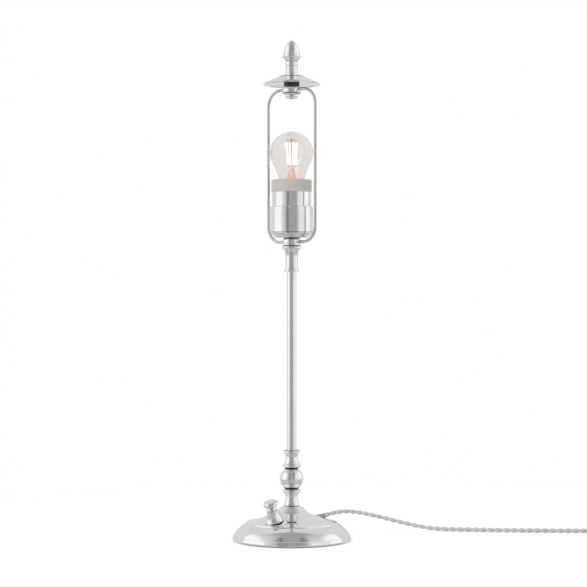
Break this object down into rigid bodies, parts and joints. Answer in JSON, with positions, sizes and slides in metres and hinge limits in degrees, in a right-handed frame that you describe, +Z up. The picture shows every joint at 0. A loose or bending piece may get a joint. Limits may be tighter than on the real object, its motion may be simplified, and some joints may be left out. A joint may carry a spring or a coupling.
{
  "type": "table lamp",
  "caption": "Table lamp: round spun base with a dimmer knob and textile cord, slim column, a bare bulb inside a wire loop, and a shade plate with an acorn finial.",
  "frame": {"origin": "centre of the lamp's round base, on the table face", "axes": "+Z up along the column; -Y towards the side the lamp is seen from; +X to that viewer's right, where the cord leaves"},
  "size_m": [0.4696, 0.153, 0.5223],
  "materials": {
    "polished_nickel": "polished",
    "zinc_steel": "bright zinc plate",
    "base_iron": "painted casting",
    "blackened_steel": "blackened, oiled",
    "felt": "pressed felt",
    "glazed_ceramic": "glazed ceramic",
    "white_porcelain": "unglazed porcelain",
    "brass": "drawn brass",
    "cap_metal": "rolled sheet",
    "bulb_clear": "clear, faintly amber",
    "stem_glass": "clear",
    "black_glass": "vitrified",
    "lit_filament": "glowing coated strip",
    "wire_metal": "drawn wire",
    "black_plastic": "moulded",
    "terminal_plastic": "moulded",
    "lead_insulation": "extruded",
    "silver_braid": "woven textile over twisted cores",
    "tie_velvet": "hook and loop strip"
  },
  "bodies": {
    "lamp": {"felt_pad": "felt", "base_cover": "zinc_steel", "cover_screws": "zinc_steel", "base_weight": "base_iron", "base_shell": "polished_nickel", "bottom_washer": "zinc_steel", "bottom_nut": "zinc_steel", "stem_tube": "polished_nickel", "lower_baluster": "polished_nickel", "baluster_ball": "polished_nickel", "upper_baluster": "polished_nickel", "trumpet_coupling": "polished_nickel", "lower_hub": "polished_nickel", "loop_rod_left": "polished_nickel", "loop_rod_right": "polished_nickel", "top_hub": "polished_nickel", "holder_nipple": "zinc_steel", "holder_dish": "polished_nickel", "holder_nut": "zinc_steel", "holder_lower_shell": "polished_nickel", "holder_upper_shell": "polished_nickel", "holder_ring": "glazed_ceramic", "holder_insert": "white_porcelain", "thread_shell": "brass", "centre_contact": "brass", "contact_screws": "brass", "top_stud": "zinc_steel", "top_nut": "polished_nickel", "plate_spacer": "blackened_steel", "shade_plate": "polished_nickel", "finial_sleeve": "polished_nickel", "switch_housing": "polished_nickel", "switch_bush": "brass", "switch_washer": "zinc_steel", "dimmer_case": "black_plastic", "push_contact": "brass", "cord_bush": "black_plastic", "terminal_block": "terminal_plastic", "terminal_screws": "brass", "supply_leads": "lead_insulation", "lamp_leads": "lead_insulation", "switch_leads": "lead_insulation", "cord_tube": "silver_braid", "cord_tail": "silver_braid", "cord_coil": "silver_braid", "coil_tie": "tie_velvet", "plug_body": "black_plastic", "plug_pins": "brass"},
    "bulb": {"bulb_glass": "bulb_clear", "bulb_cap": "cap_metal", "bulb_insulator": "black_glass", "bulb_contact": "wire_metal", "bulb_stem": "stem_glass", "bulb_filaments": "lit_filament", "filament_wires": "wire_metal"},
    "finial": {"finial": "polished_nickel"},
    "dimmer_rotor": {"dimmer_rotor": "terminal_plastic"},
    "switch_knob": {"switch_spindle": "zinc_steel", "switch_knob": "polished_nickel"}
  },
  "joints": [
    {"name": "bulb_out", "type": "slide", "parent": "lamp", "child": "bulb", "axis": [0, 0, 1], "range_m": [0, 0.03]},
    {"name": "finial_off", "type": "slide", "parent": "lamp", "child": "finial", "axis": [0, 0, 1], "range_m": [0, 0.012]},
    {"name": "knob_turn", "type": "hinge", "parent": "lamp", "child": "dimmer_rotor", "pos_m": [-0.0177, -0.026, 0.02293], "axis": [-0.2017, -0.2962, 0.9336], "range_deg": [0, 270]},
    {"name": "knob_push", "type": "slide", "parent": "dimmer_rotor", "child": "switch_knob", "axis": [-0.2017, -0.2962, 0.9336], "range_m": [-0.0012, 0], "stiffness_N_per_m": 1500, "springref_m": 0.0005}
  ]
}
